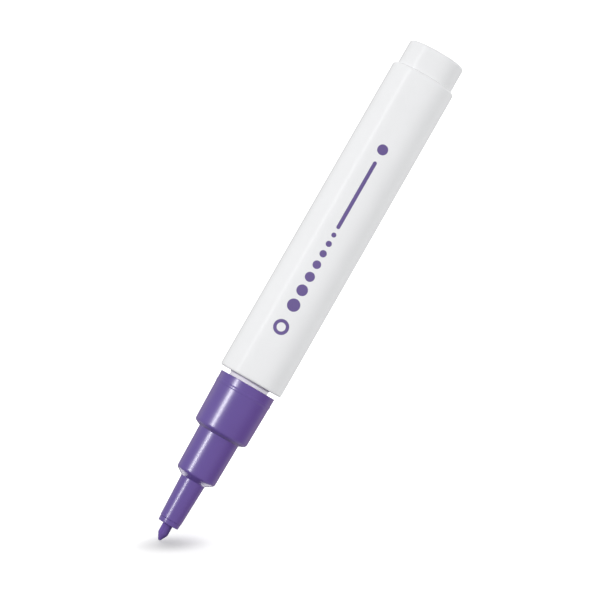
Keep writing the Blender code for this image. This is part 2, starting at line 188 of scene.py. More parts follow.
# %% Turn the barrel
INK_ROOM = 0.02 * MM
BARREL_WALL = 1.4 * MM
REAR_ROUNDING = 0.65 * MM
FRONT_ROUNDING = 0.5 * MM
FRONT_WALL = 2.0 * MM
FUNNEL_LENGTH = 2.0 * MM
NECK_RADIUS = 4.75 * MM
NECK_BORE = 3.75 * MM
NECK_LENGTH = 9.5 * MM
NECK_FILLET = 0.35 * MM
NECK_CHAMFER = 0.3 * MM
barrel_radius = barrel_high.x - INK_ROOM
barrel_bore = barrel_radius - BARREL_WALL
barrel_front = barrel_high.z - NECK_LENGTH
barrel = turn("barrel_shell", [
    (barrel_bore, barrel_low.z),
    (barrel_radius, barrel_low.z, REAR_ROUNDING),
    (barrel_radius, barrel_front, FRONT_ROUNDING),
    (NECK_RADIUS, barrel_front, NECK_FILLET),
    (NECK_RADIUS, barrel_high.z, NECK_CHAMFER),
    (NECK_BORE, barrel_high.z),
    (NECK_BORE, barrel_front - FRONT_WALL),
    (barrel_bore, barrel_front - FRONT_WALL - FUNNEL_LENGTH),
])
dress(barrel, "barrel", "barrel")

# %% [markdown]
# ## The tail plug
# The plug closes the barrel from behind. Its post is a little narrower than the barrel, so that a cap can
# be pushed on while writing. The sprue that fed the mould leaves a shallow round recess in the end.

# %% Turn the tail plug
POST_ROUNDING = 0.6 * MM
POST_SLIT = 0.005 * MM
CUP_RADIUS = 4.75 * MM
CUP_FLOOR = 1.5 * MM
GATE_RADIUS = 1.5 * MM
GATE_DEPTH = 0.3 * MM
GATE_ROUNDING = 0.08 * MM
SEAL_OFFSETS = (2.0 * MM, 5.0 * MM)
SEAL_WIDTH = 0.9 * MM
SEAL_CREST = 0.3 * MM
SEAL_HEIGHT = 0.2 * MM
SEAL_ROUNDING = 0.1 * MM
SPIGOT_RADIUS = 5.95 * MM
SPIGOT_ROUNDING = 0.5 * MM
CUP_ROUNDING = 0.5 * MM
post_radius = plug_high.x
post_top = barrel_low.z - POST_SLIT
plug_outline = [
    (0.0, GATE_DEPTH),
    (GATE_RADIUS, GATE_DEPTH, GATE_ROUNDING),
    (GATE_RADIUS, 0.0, GATE_ROUNDING),
    (post_radius, 0.0, POST_ROUNDING),
    (post_radius, post_top),
    (SPIGOT_RADIUS, post_top),
]
for offset in SEAL_OFFSETS:
    seal_middle = barrel_low.z + offset
    plug_outline += [
        (SPIGOT_RADIUS, seal_middle - SEAL_WIDTH / 2),
        (SPIGOT_RADIUS + SEAL_HEIGHT, seal_middle - SEAL_CREST / 2, SEAL_ROUNDING),
        (SPIGOT_RADIUS + SEAL_HEIGHT, seal_middle + SEAL_CREST / 2, SEAL_ROUNDING),
        (SPIGOT_RADIUS, seal_middle + SEAL_WIDTH / 2),
    ]
plug_outline += [
    (SPIGOT_RADIUS, plug_high.z, SPIGOT_ROUNDING),
    (CUP_RADIUS, plug_high.z),
    (CUP_RADIUS, CUP_FLOOR, CUP_ROUNDING),
    (0.0, CUP_FLOOR),
]
tail_plug = turn("tail_post", plug_outline, closed=False)
dress(tail_plug, "tail_plug", "barrel")

# %% [markdown]
# ## The front section
# One purple moulding makes three steps: the collar with a low bead that the cap snaps over, the stage,
# and the slim tube with a fine lip at its end. Each step tapers a little so that it leaves its mould.
# The taper and the small roundings are what catch the light, so they are drawn rather than left sharp.

# %% Outline of the front section
COLLAR_REAR_RADIUS = 6.675 * MM
COLLAR_FRONT_RADIUS = 6.425 * MM
COLLAR_LENGTH = 12.85 * MM
COLLAR_REAR_ROUNDING = 0.15 * MM
COLLAR_ROUNDING = 0.85 * MM
COLLAR_FACE_RISE = 0.7 * MM
BEAD_OFFSET = 2.2 * MM
BEAD_WIDTH = 0.8 * MM
BEAD_CREST = 0.3 * MM
BEAD_HEIGHT = 0.07 * MM
STAGE_REAR_RADIUS = 4.875 * MM
STAGE_FRONT_RADIUS = 4.7 * MM
STAGE_LENGTH = 11.35 * MM
STAGE_ROUNDING = 0.8 * MM
STAGE_CONE_RISE = 1.15 * MM
STEP_FILLET = 0.08 * MM
TUBE_REAR_RADIUS = 2.925 * MM
TUBE_FRONT_RADIUS = 2.55 * MM
LIP_REAR_RADIUS = 2.475 * MM
LIP_FRONT_RADIUS = 2.4 * MM
LIP_LENGTH = 1.05 * MM
LIP_ROUNDING = 0.15 * MM
GROOVE_WIDTH = 0.14 * MM
GROOVE_DEPTH = 0.09 * MM
FINE_ROUNDING = 0.05 * MM
SOCKET_RADIUS = 4.8 * MM
SOCKET_DEPTH = 9.8 * MM
SOCKET_ROUNDING = 0.2 * MM
STAGE_BORE = 3.5 * MM
STAGE_FRONT_WALL = 1.5 * MM
TUBE_BORE = 1.65 * MM
GUIDE_BORE = 1.2 * MM
GUIDE_LENGTH = 5.0 * MM
GUIDE_LEAD = 0.6 * MM
collar_rear = front_low.z
collar_front = collar_rear + COLLAR_LENGTH
stage_front = collar_front + STAGE_LENGTH
tube_front = front_high.z
lip_rear = tube_front - LIP_LENGTH


def collar_radius(height):
    """The collar's radius at a height, along its taper."""
    share = (height - collar_rear) / (COLLAR_LENGTH - COLLAR_FACE_RISE)
    return COLLAR_REAR_RADIUS + share * (COLLAR_FRONT_RADIUS - COLLAR_REAR_RADIUS)


bead_middle = collar_rear + BEAD_OFFSET
bead_low = bead_middle - BEAD_WIDTH / 2
crest_low = bead_middle - BEAD_CREST / 2
crest_high = bead_middle + BEAD_CREST / 2
bead_high = bead_middle + BEAD_WIDTH / 2
front_outline = [
    (SOCKET_RADIUS, collar_rear, SOCKET_ROUNDING),
    (COLLAR_REAR_RADIUS, collar_rear, COLLAR_REAR_ROUNDING),
    (collar_radius(bead_low), bead_low, STEP_FILLET),
    (collar_radius(crest_low) + BEAD_HEIGHT, crest_low, STEP_FILLET),
    (collar_radius(crest_high) + BEAD_HEIGHT, crest_high, STEP_FILLET),
    (collar_radius(bead_high), bead_high, STEP_FILLET),
    (COLLAR_FRONT_RADIUS, collar_front - COLLAR_FACE_RISE, COLLAR_ROUNDING),
    (STAGE_REAR_RADIUS, collar_front, STEP_FILLET),
    (STAGE_FRONT_RADIUS, stage_front - STAGE_CONE_RISE, STAGE_ROUNDING),
    (TUBE_REAR_RADIUS, stage_front, STEP_FILLET),
    (TUBE_FRONT_RADIUS, lip_rear - GROOVE_WIDTH, FINE_ROUNDING),
    (LIP_REAR_RADIUS - GROOVE_DEPTH, lip_rear - GROOVE_WIDTH / 2),
    (LIP_REAR_RADIUS, lip_rear, FINE_ROUNDING),
    (LIP_FRONT_RADIUS, tube_front, LIP_ROUNDING),
    (GUIDE_BORE, tube_front, FINE_ROUNDING),
    (GUIDE_BORE, tube_front - GUIDE_LENGTH),
    (TUBE_BORE, tube_front - GUIDE_LENGTH - GUIDE_LEAD),
    (TUBE_BORE, stage_front - STAGE_FRONT_WALL),
    (STAGE_BORE, stage_front - STAGE_FRONT_WALL),
    (STAGE_BORE, collar_rear + SOCKET_DEPTH),
    (SOCKET_RADIUS, collar_rear + SOCKET_DEPTH),
]
front_section = turn("front_moulding", front_outline)

# %% [markdown]
# Four flutes run along the hole round the nib, so that paint can come forward and air can go back.
# A block is cut away with a Boolean for each pair of flutes, and the block is then deleted.

# %% Cut the flutes round the nib
FLUTE_WIDTH = 0.5 * MM
FLUTE_DEPTH = 0.35 * MM


def cut_piece(piece, tool, operation):
    """Cuts a piece with a tool by a Boolean and deletes the tool."""
    start_clean()
    piece.select_set(True)
    bpy.context.view_layer.objects.active = piece
    cut = piece.modifiers.new("cut", "BOOLEAN")
    cut.operation = operation
    cut.object = tool
    bpy.ops.object.modifier_apply(modifier=cut.name)
    bpy.data.objects.remove(tool, do_unlink=True)


flute_size = (2 * (GUIDE_BORE + FLUTE_DEPTH), FLUTE_WIDTH, 2 * (GUIDE_LENGTH + GUIDE_LEAD))
for angle in (0.0, math.pi / 2):
    start_clean()
    bpy.ops.mesh.primitive_cube_add(
        size=1.0, location=(0.0, 0.0, tube_front), rotation=(0.0, 0.0, angle), scale=flute_size
    )
    cut_piece(front_section, bpy.context.active_object, "DIFFERENCE")
settle_shading(front_section)
dress(front_section, "front_section", "barrel")
print("front section:", len(front_section.data.polygons), "faces after the flutes")

# %% [markdown]
# ## The nib
# The nib is a rod of pressed fibre, ground to a bullet point and soaked with paint. The point is a cone
# with a soft shoulder and a small round end, which rounded corners in its outline give.

# %% Turn the nib
BULLET_LENGTH = 1.65 * MM
POINT_RADIUS = 0.25 * MM
POINT_ROUNDING = 0.3 * MM
SHOULDER_ROUNDING = 0.8 * MM
NIB_REAR_ROUNDING = 0.2 * MM
nib_radius = nib_high.x
nib = turn("nib_rod", [
    (0.0, nib_low.z),
    (nib_radius, nib_low.z, NIB_REAR_ROUNDING),
    (nib_radius, nib_high.z - BULLET_LENGTH, SHOULDER_ROUNDING),
    (POINT_RADIUS, nib_high.z, POINT_ROUNDING),
    (0.0, nib_high.z),
], closed=False)
dress(nib, "nib", "nib")

# %% [markdown]
# ## The print
# A marker's barrel carries a print in the colour of its paint. This one is plain ornament: a ring, a row
# of drops that grow smaller, and a stroke that ends in a dot. Screen printing presses ink through a
# stencil, so a thin sleeve of ink round the barrel is kept only where the stencil's rods cross it.
# The ink then follows the curve of the barrel and keeps crisp edges.

# %% Print the barrel
INK_LOW = 0.002 * MM
INK_HIGH = 0.014 * MM
STENCIL_SIDES = 48
STENCIL_DEPTH = 4.0 * MM
RING_HEIGHT = 69.4 * MM
RING_RADIUS = 1.75 * MM
RING_HOLE = 1.0 * MM
DROP_START = 65.4 * MM
DROP_RADII = (1.45 * MM, 1.27 * MM, 1.1 * MM, 0.94 * MM, 0.8 * MM, 0.67 * MM, 0.55 * MM)
DROP_GAP = 1.0 * MM
STROKE_RADIUS = 0.43 * MM
STROKE_LOW = 28.4 * MM
DOT_HEIGHT = 25.0 * MM
DOT_RADIUS = 1.2 * MM


def stencil_rod(radius, height):
    """A rod that crosses the front of the barrel at a height."""
    start_clean()
    bpy.ops.mesh.primitive_cylinder_add(
        vertices=STENCIL_SIDES,
        radius=radius,
        depth=STENCIL_DEPTH,
        location=(0.0, -barrel_radius, height),
        rotation=(math.pi / 2, 0.0, 0.0),
    )
    rod = bpy.context.active_object
    bpy.ops.object.transform_apply(location=True, rotation=True, scale=True)
    return rod


ring_rod = stencil_rod(RING_RADIUS, RING_HEIGHT)
cut_piece(ring_rod, stencil_rod(RING_HOLE, RING_HEIGHT), "DIFFERENCE")
rods = [ring_rod]
drop_top = DROP_START
for drop_radius in DROP_RADII:
    rods.append(stencil_rod(drop_radius, drop_top - drop_radius))
    drop_top -= 2 * drop_radius + DROP_GAP
stroke_rod = stencil_rod(STROKE_RADIUS, STROKE_LOW)
bpy.ops.object.mode_set(mode="EDIT")
select_points(stroke_rod, lambda point: point.z > STROKE_LOW)
bpy.ops.transform.translate(value=(0.0, 0.0, drop_top - STROKE_RADIUS - STROKE_LOW))
bpy.ops.object.mode_set(mode="OBJECT")
rods += [stroke_rod, stencil_rod(DOT_RADIUS, DOT_HEIGHT)]
start_clean()
for rod in rods:
    rod.select_set(True)
bpy.context.view_layer.objects.active = rods[0]
bpy.ops.object.join()
stencil = bpy.context.active_object
print_low = DOT_HEIGHT - 2 * DOT_RADIUS
print_high = RING_HEIGHT + 2 * RING_RADIUS
barrel_print = turn("barrel_print", [
    (barrel_radius + INK_LOW, print_low),
    (barrel_radius + INK_HIGH, print_low),
    (barrel_radius + INK_HIGH, print_high),
    (barrel_radius + INK_LOW, print_high),
])
cut_piece(barrel_print, stencil, "INTERSECT")
settle_shading(barrel_print)
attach(barrel_print, "barrel")
print(f"print: {len(barrel_print.data.polygons)} faces, {barrel_print.dimensions.z / MM:.1f} mm long")

# %% [markdown]
# ## The valve spring
# The coil spring inside shortens as the nib is pushed. A circle of wire is carried up a helix by a Screw
# modifier, which is how a spring is wound, and its two cut ends are filled.

# %% Wind the spring
WIRE_RADIUS = 0.2 * MM
WIRE_SIDES = 14
COIL_COUNT = 8
COIL_STEPS = 40
start_clean()
coil_radius = spring_high.x - WIRE_RADIUS
coil_bottom = spring_low.z + WIRE_RADIUS
coil_rise = spring_high.z - spring_low.z - 2 * WIRE_RADIUS
bpy.ops.mesh.primitive_circle_add(
    vertices=WIRE_SIDES,
    radius=WIRE_RADIUS,
    location=(coil_radius, 0.0, coil_bottom),
    rotation=(math.pi / 2, 0.0, 0.0),
)
spring = bpy.context.active_object
spring.name = "spring_coil"
bpy.ops.object.transform_apply(location=True, rotation=True, scale=True)
wind = spring.modifiers.new("wind", "SCREW")
wind.axis = "Z"
wind.angle = 2 * math.pi
wind.screw_offset = coil_rise / COIL_COUNT
wind.iterations = COIL_COUNT
wind.steps = COIL_STEPS
wind.render_steps = COIL_STEPS
wind.merge_threshold = SAME_PLACE
bpy.ops.object.modifier_apply(modifier=wind.name)
bpy.ops.object.mode_set(mode="EDIT")
bpy.ops.mesh.select_all(action="DESELECT")
bpy.ops.mesh.select_mode(type="EDGE")
bpy.ops.mesh.select_non_manifold()
bpy.ops.mesh.edge_face_add()
close_up(spring)
dress(spring, "valve_spring", "barrel")
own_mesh(spring)

# %% [markdown]
# ## The mixing ball
# A loose steel ball stirs the paint. A cube that is subdivided and pushed out to a sphere has even faces
# all over, without the pinched poles of a globe, so a polished surface reflects cleanly.

# %% Shape the ball
BALL_CUTS = 11
start_clean()
ball_middle = (ball_low + ball_high) / 2
ball_radius = (ball_high.z - ball_low.z) / 2
bpy.ops.mesh.primitive_cube_add(size=ball_radius, location=ball_middle)
ball = bpy.context.active_object
ball.name = "steel_ball"
bpy.ops.object.transform_apply(location=True, rotation=True, scale=True)
bpy.ops.object.mode_set(mode="EDIT")
bpy.ops.mesh.select_all(action="SELECT")
bpy.ops.mesh.subdivide(number_cuts=BALL_CUTS)
bpy.ops.object.mode_set(mode="OBJECT")
round_out = ball.modifiers.new("round_out", "CAST")
round_out.cast_type = "SPHERE"
round_out.factor = 1.0
round_out.use_radius_as_size = False
round_out.size = ball_radius
bpy.ops.object.modifier_apply(modifier=round_out.name)
bpy.ops.object.shade_smooth()
dress(ball, "mixing_ball", "mixing_ball")
print(f"ball: {ball.dimensions.x / MM:.2f} mm across")

# %% [markdown]
# ## Shared effects for the finishes
# Moulded plastic is never quite even: its skin has a faint peel and its colour clouds a little. Fibre and
# drawn steel have long fine lines. Each effect is a node group, so that every finish can use it.

# %% Node groups
FLOAT = "NodeSocketFloat"
VECTOR = "NodeSocketVector"
PEEL_DETAIL = 3.0
CLOUD_DETAIL = 2.0
LINE_DETAIL = 4.0
LINE_STRETCH = (1.0, 1.0, 0.03)


def new_group(name, inputs, outputs):
    """An empty node group with its sockets, as (name, kind) pairs, and its two ends."""
    group = bpy.data.node_groups.new(name, "ShaderNodeTree")
    for socket, kind in inputs:
        group.interface.new_socket(name=socket, in_out="INPUT", socket_type=kind)
    for socket, kind in outputs:
        group.interface.new_socket(name=socket, in_out="OUTPUT", socket_type=kind)
    entry = group.nodes.new("NodeGroupInput")
    leave = group.nodes.new("NodeGroupOutput")
    return group, entry, leave


def link_all(tree, *pairs):
    """Links pairs of sockets: an output and the input that it feeds."""
    for leave, entry in pairs:
        tree.links.new(leave, entry)


def moulded_skin_group():
    """Fine peel for a bump, and slow clouds for the colour and the gloss."""
    inputs = [("Vector", VECTOR), ("Peel Scale", FLOAT), ("Cloud Scale", FLOAT)]
    group, entry, leave = new_group("moulded_skin", inputs, [("Peel", FLOAT), ("Cloud", FLOAT)])
    peel = group.nodes.new("ShaderNodeTexNoise")
    peel.inputs["Detail"].default_value = PEEL_DETAIL
    cloud = group.nodes.new("ShaderNodeTexNoise")
    cloud.inputs["Detail"].default_value = CLOUD_DETAIL
    link_all(
        group,
        (entry.outputs["Vector"], peel.inputs["Vector"]),
        (entry.outputs["Peel Scale"], peel.inputs["Scale"]),
        (entry.outputs["Vector"], cloud.inputs["Vector"]),
        (entry.outputs["Cloud Scale"], cloud.inputs["Scale"]),
        (peel.outputs["Fac"], leave.inputs["Peel"]),
        (cloud.outputs["Fac"], leave.inputs["Cloud"]),
    )
    return group


def long_lines_group():
    """Streaks along the marker, from noise stretched in Z: fibres and drawing marks."""
    inputs = [("Vector", VECTOR), ("Scale", FLOAT)]
    group, entry, leave = new_group("long_lines", inputs, [("Lines", FLOAT)])
    stretch = group.nodes.new("ShaderNodeMapping")
    stretch.inputs["Scale"].default_value = LINE_STRETCH
    lines = group.nodes.new("ShaderNodeTexNoise")
    lines.inputs["Detail"].default_value = LINE_DETAIL
    link_all(
        group,
        (entry.outputs["Vector"], stretch.inputs["Vector"]),
        (stretch.outputs["Vector"], lines.inputs["Vector"]),
        (entry.outputs["Scale"], lines.inputs["Scale"]),
        (lines.outputs["Fac"], leave.inputs["Lines"]),
    )
    return group


moulded_skin = moulded_skin_group()
long_lines = long_lines_group()
print("node groups:", moulded_skin.name, long_lines.name)

# %% [markdown]
# ## A finish in general
# A finish starts from the Principled shader. Colour and roughness each run between two values, led by one
# of the shared effects, and the fine peel or fibre goes to a bump. What is even all over is set directly.

# %% Finish helpers
ALL_DARK = 0.3
ALL_LIGHT = 0.7


def new_finish(name):
    """A new material, its nodes, its shader and the place on the piece that its effects follow."""
    material = bpy.data.materials.new(name)
    material.use_nodes = True
    tree = material.node_tree
    place = tree.nodes.new("ShaderNodeTexCoord")
    return material, tree, tree.nodes["Principled BSDF"], place.outputs["Object"]


def place_group(tree, group, vector, **values):
    """Puts a shared effect into a material and sets its inputs."""
    node = tree.nodes.new("ShaderNodeGroup")
    node.node_tree = group
    tree.links.new(vector, node.inputs["Vector"])
    for socket, value in values.items():
        node.inputs[socket.replace("_", " ")].default_value = value
    return node


def colour_between(tree, shader, mask, dark, light):
    """Lets a mask run the colour from dark to light."""
    ramp = tree.nodes.new("ShaderNodeValToRGB")
    ramp.color_ramp.elements[0].position = ALL_DARK
    ramp.color_ramp.elements[0].color = (*dark, 1.0)
    ramp.color_ramp.elements[1].position = ALL_LIGHT
    ramp.color_ramp.elements[1].color = (*light, 1.0)
    tree.links.new(mask, ramp.inputs["Fac"])
    tree.links.new(ramp.outputs["Color"], shader.inputs["Base Color"])


def roughness_between(tree, shader, mask, low, high):
    """Lets a mask run the roughness from low to high."""
    span = tree.nodes.new("ShaderNodeMapRange")
    span.inputs["To Min"].default_value = low
    span.inputs["To Max"].default_value = high
    tree.links.new(mask, span.inputs["Value"])
    tree.links.new(span.outputs["Result"], shader.inputs["Roughness"])


def bump_from(tree, shader, height, strength, distance):
    """Raises the surface by a mask, for the light alone."""
    bump = tree.nodes.new("ShaderNodeBump")
    bump.inputs["Strength"].default_value = strength
    bump.inputs["Distance"].default_value = distance
    tree.links.new(height, bump.inputs["Height"])
    tree.links.new(bump.outputs["Normal"], shader.inputs["Normal"])


# %% [markdown]
# ## Moulded plastics
# Polypropylene is waxy: the white pieces have a soft sheen, and that of the purple section is broader. All
# have a fine peel that breaks the edge of a highlight. The print's ink is duller, and so are the pieces of
# the valve, which keep the plastic's natural colour.

# %% Plastic finishes
CLOUD_SCALE = 90.0
CLOUD_ROUGHNESS = 0.03
PEEL_STRENGTH = 0.25
PLASTIC_IOR = 1.49
PURPLE_ROUGHNESS = 0.31


def moulded_plastic(name, dark, light, roughness, peel_scale, peel_depth):
    material, tree, shader, place = new_finish(name)
    skin = place_group(tree, moulded_skin, place, Peel_Scale=peel_scale, Cloud_Scale=CLOUD_SCALE)
    cloud = skin.outputs["Cloud"]
    colour_between(tree, shader, cloud, dark, light)
    roughness_between(tree, shader, cloud, roughness - CLOUD_ROUGHNESS, roughness + CLOUD_ROUGHNESS)
    bump_from(tree, shader, skin.outputs["Peel"], PEEL_STRENGTH, peel_depth)
    shader.inputs["IOR"].default_value = PLASTIC_IOR
    return material


white_plastic = moulded_plastic(
    "white_plastic",
    dark=(0.795, 0.800, 0.810),
    light=(0.815, 0.820, 0.830),
    roughness=0.18,
    peel_scale=1500.0,
    peel_depth=0.002 * MM,
)
# The plug's white is a darker copy of the barrel's: painted shade that dims the plug a little.
white_plug_plastic = moulded_plastic(
    "white_plug_plastic",
    dark=(0.778, 0.783, 0.793),
    light=(0.798, 0.803, 0.813),
    roughness=0.18,
    peel_scale=1300.0,
    peel_depth=0.002 * MM,
)
purple_plastic = moulded_plastic(
    "purple_plastic",
    dark=(0.110, 0.064, 0.290),
    light=(0.119, 0.071, 0.309),
    roughness=PURPLE_ROUGHNESS,
    peel_scale=1100.0,
    peel_depth=0.0008 * MM,
)
natural_plastic = moulded_plastic(
    "natural_plastic",
    dark=(0.66, 0.66, 0.61),
    light=(0.71, 0.71, 0.67),
    roughness=0.45,
    peel_scale=1200.0,
    peel_depth=0.004 * MM,
)
print_ink = moulded_plastic(
    "print_ink",
    dark=(0.115, 0.078, 0.238),
    light=(0.140, 0.098, 0.275),
    roughness=0.45,
    peel_scale=2400.0,
    peel_depth=0.001 * MM,
)
print("plastic finishes:", white_plastic.name, purple_plastic.name, natural_plastic.name)

# %% [markdown]
# ## Where the plastic differs
# A moulding isn't alike all over: the face in front of the collar is matte, and the cone in front of the
# stage is glossy to its very edge. The thin neck of the barrel is given a paler, lilac colour, which is
# painted light for the light that the groove behind the collar catches. Elsewhere the purple grows
# duller where it is seen edge on, so that its rims don't burn out, and paler there, which is a painted
# sheen for the reflection that the duller rims lose. Masks by height and by angle mix these values into
# the finish, which needs no seams in the mesh.

# %% Masks on the plastic
MASK_BLUR = 0.05 * MM
GRAZING_FROM = 0.40
GRAZING_TO = 0.75
GRAZING_ROUGHNESS = 0.6
GRAZING_PAINTED_SHEEN = (0.165, 0.115, 0.305, 1.0)
FACE_ROUGHNESS = 0.7
NECK_PAINTED_LIGHT = (0.93, 0.90, 0.955, 1.0)


def height_mask(tree, low, high):
    """A mask that is one between two heights, with soft edges."""
    place = tree.nodes.new("ShaderNodeTexCoord")
    parts = tree.nodes.new("ShaderNodeSeparateXYZ")
    rise = tree.nodes.new("ShaderNodeMapRange")
    rise.inputs["From Min"].default_value = low - MASK_BLUR
    rise.inputs["From Max"].default_value = low + MASK_BLUR
    fall = tree.nodes.new("ShaderNodeMapRange")
    fall.inputs["From Min"].default_value = high + MASK_BLUR
    fall.inputs["From Max"].default_value = high - MASK_BLUR
    both = tree.nodes.new("ShaderNodeMath")
    both.operation = "MULTIPLY"
    link_all(
        tree,
        (place.outputs["Object"], parts.inputs["Vector"]),
        (parts.outputs["Z"], rise.inputs["Value"]),
        (parts.outputs["Z"], fall.inputs["Value"]),
        (rise.outputs["Result"], both.inputs[0]),
        (fall.outputs["Result"], both.inputs[1]),
    )
    return both.outputs["Value"]


def grazing_mask(tree):
    """A mask that rises to one where the surface is seen nearly edge on."""
    weight = tree.nodes.new("ShaderNodeLayerWeight")
    rise = tree.nodes.new("ShaderNodeMapRange")
    rise.interpolation_type = "SMOOTHSTEP"
    rise.inputs["From Min"].default_value = GRAZING_FROM
    rise.inputs["From Max"].default_value = GRAZING_TO
    tree.links.new(weight.outputs["Facing"], rise.inputs["Value"])
    return rise.outputs["Result"]


def mix_in(material, socket, mask, value):
    """Mixes another value into a socket of the shader where a mask is one."""
    tree = material.node_tree
    target = tree.nodes["Principled BSDF"].inputs[socket]
    mix = tree.nodes.new("ShaderNodeMix")
    mix.data_type = "RGBA" if target.type == "RGBA" else "FLOAT"
    factor, outside, inside = [entry for entry in mix.inputs if entry.enabled]
    result = next(leave for leave in mix.outputs if leave.enabled)
    inside.default_value = value
    link_all(tree, (mask, factor), (target.links[0].from_socket, outside), (result, target))


# The neck's paler, lilac colour is painted light for the light that reaches into the groove.
neck = height_mask(white_plastic.node_tree, barrel_front + MASK_BLUR, barrel_high.z)
mix_in(white_plastic, "Base Color", neck, NECK_PAINTED_LIGHT)
edge_on = grazing_mask(purple_plastic.node_tree)
mix_in(purple_plastic, "Roughness", edge_on, GRAZING_ROUGHNESS)
# The paler colour at the rims is a painted sheen for the reflection that the duller rims lose.
mix_in(purple_plastic, "Base Color", edge_on, GRAZING_PAINTED_SHEEN)
collar_face = height_mask(purple_plastic.node_tree, collar_front - COLLAR_FACE_RISE, collar_front)
mix_in(purple_plastic, "Roughness", collar_face, FACE_ROUGHNESS)
cone_low = stage_front - STAGE_CONE_RISE - STAGE_ROUNDING / 2
stage_cone = height_mask(purple_plastic.node_tree, cone_low, stage_front)
mix_in(purple_plastic, "Roughness", stage_cone, PURPLE_ROUGHNESS)
plastic_pieces = {
    barrel: white_plastic,
    barrel_print: print_ink,
    tail_plug: white_plug_plastic,
    front_section: purple_plastic,
}
for piece, material in plastic_pieces.items():
    piece.data.materials.append(material)
print("plastic pieces:", [piece.name for piece in plastic_pieces])

# %% [markdown]
# ## Fibre, rubber and steel
# The nib and the buffer are bundles of fibre along the marker, matte and streaky. The gasket is dull black
# rubber. The spring and the ball are steel: drawn wire with long marks, and a polished ball.

# %% Fibre, rubber and steel finishes
FIBRE_ROUGHNESS = (0.70, 0.90)
FIBRE_STRENGTH = 0.5
FIBRE_SHINE = 0.15
STEEL_MARKS = 0.1
RUBBER_PEEL = 2500.0
RUBBER_CLOUDS = 400.0
RUBBER_ROUGHNESS = (0.6, 0.8)
RUBBER_STRENGTH = 0.3
RUBBER_DEPTH = 0.01 * MM


def fibre(name, dark, light, scale, depth):
    material, tree, shader, place = new_finish(name)
    lines = place_group(tree, long_lines, place, Scale=scale).outputs["Lines"]
    colour_between(tree, shader, lines, dark, light)
    roughness_between(tree, shader, lines, *FIBRE_ROUGHNESS)
    bump_from(tree, shader, lines, FIBRE_STRENGTH, depth)
    shader.inputs["Specular IOR Level"].default_value = FIBRE_SHINE
    return material


def steel(name, dark, light, roughness, scale):
    material, tree, shader, place = new_finish(name)
    lines = place_group(tree, long_lines, place, Scale=scale).outputs["Lines"]
    colour_between(tree, shader, lines, dark, light)
    roughness_between(tree, shader, lines, roughness, roughness + STEEL_MARKS)
    shader.inputs["Metallic"].default_value = 1.0
    return material


def rubber(name, dark, light):
    material, tree, shader, place = new_finish(name)
    skin = place_group(tree, moulded_skin, place, Peel_Scale=RUBBER_PEEL, Cloud_Scale=RUBBER_CLOUDS)
    colour_between(tree, shader, skin.outputs["Cloud"], dark, light)
    roughness_between(tree, shader, skin.outputs["Peel"], *RUBBER_ROUGHNESS)
    bump_from(tree, shader, skin.outputs["Peel"], RUBBER_STRENGTH, RUBBER_DEPTH)
    return material


nib_fibre = fibre(
    "nib_fibre", dark=(0.135, 0.082, 0.322), light=(0.191, 0.122, 0.420), scale=5200.0, depth=0.03 * MM
)
buffer_fibre = fibre(
    "buffer_fibre", dark=(0.17, 0.12, 0.36), light=(0.27, 0.20, 0.48), scale=3000.0, depth=0.05 * MM
)
gasket_rubber = rubber("gasket_rubber", dark=(0.022, 0.022, 0.022), light=(0.036, 0.036, 0.036))
spring_steel = steel(
    "spring_steel", dark=(0.52, 0.52, 0.54), light=(0.66, 0.66, 0.68), roughness=0.22, scale=3000.0
)
ball_steel = steel(
    "ball_steel", dark=(0.58, 0.58, 0.60), light=(0.64, 0.64, 0.66), roughness=0.08, scale=900.0
)
nib.data.materials.append(nib_fibre)
spring.data.materials.append(spring_steel)
ball.data.materials.append(ball_steel)
inner_finishes = {
    "ink_buffer": buffer_fibre,
    "valve_body": natural_plastic,
    "valve_gasket": gasket_rubber,
    "valve_stem": natural_plastic,
    "spring_cage": natural_plastic,
}
for node, material in inner_finishes.items():
    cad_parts[node].data.materials.clear()
    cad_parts[node].data.materials.append(material)
print("inner pieces finished:", sorted(inner_finishes))

# %% [markdown]
# ## The camera
# The photograph looks at the marker from a fair distance, so its perspective is mild. The marker leans in
# the picture with its nib at the lower left, and its tail is a little farther away than its nib.
# The camera is turned to show that lean, because the frame itself never moves.

# %% Place the camera
PICTURE_WIDTH = 600
SENSOR_WIDTH = 36.0
CAMERA_DISTANCE = 627.0 * MM
LEAN_IN_PICTURE = math.radians(29.82)
LEAN_AWAY = math.radians(2.2)
MIDDLE_PIXEL = Vector((297.67, 298.21))
MIDDLE_HEIGHT = 61.92 * MM
PIXEL_SIZE = 0.21965 * MM
flat = math.cos(LEAN_AWAY)
tailward = Vector((
    math.sin(LEAN_IN_PICTURE) * flat,
    math.cos(LEAN_IN_PICTURE) * flat,
    -math.sin(LEAN_AWAY),
))
row_z = -tailward
towards_viewer = Vector((0.0, 0.0, 1.0))
row_y = -(towards_viewer - towards_viewer.dot(tailward) * tailward).normalized()
row_x = row_y.cross(row_z)
camera_to_row = Matrix((row_x, row_y, row_z))
offset = (MIDDLE_PIXEL - Vector((PICTURE_WIDTH / 2, PICTURE_WIDTH / 2))) * PIXEL_SIZE
middle_in_camera = Vector((offset.x, -offset.y, -CAMERA_DISTANCE))
camera_place = Vector((0.0, 0.0, MIDDLE_HEIGHT)) - camera_to_row @ middle_in_camera
lens = bpy.data.cameras.new("portrait_lens")
lens.sensor_width = SENSOR_WIDTH
lens.lens = SENSOR_WIDTH * CAMERA_DISTANCE / PIXEL_SIZE / PICTURE_WIDTH
camera = bpy.data.objects.new("portrait_camera", lens)
camera.matrix_world = Matrix.Translation(camera_place) @ camera_to_row.to_4x4()
bpy.context.scene.collection.objects.link(camera)
bpy.context.scene.camera = camera
print(f"camera {CAMERA_DISTANCE / MM:.0f} mm away, lens {lens.lens:.0f} mm")


def from_picture(right, up, near):
    """A direction in the picture, as a direction in the frame."""
    return camera_to_row @ Vector((right, up, near))
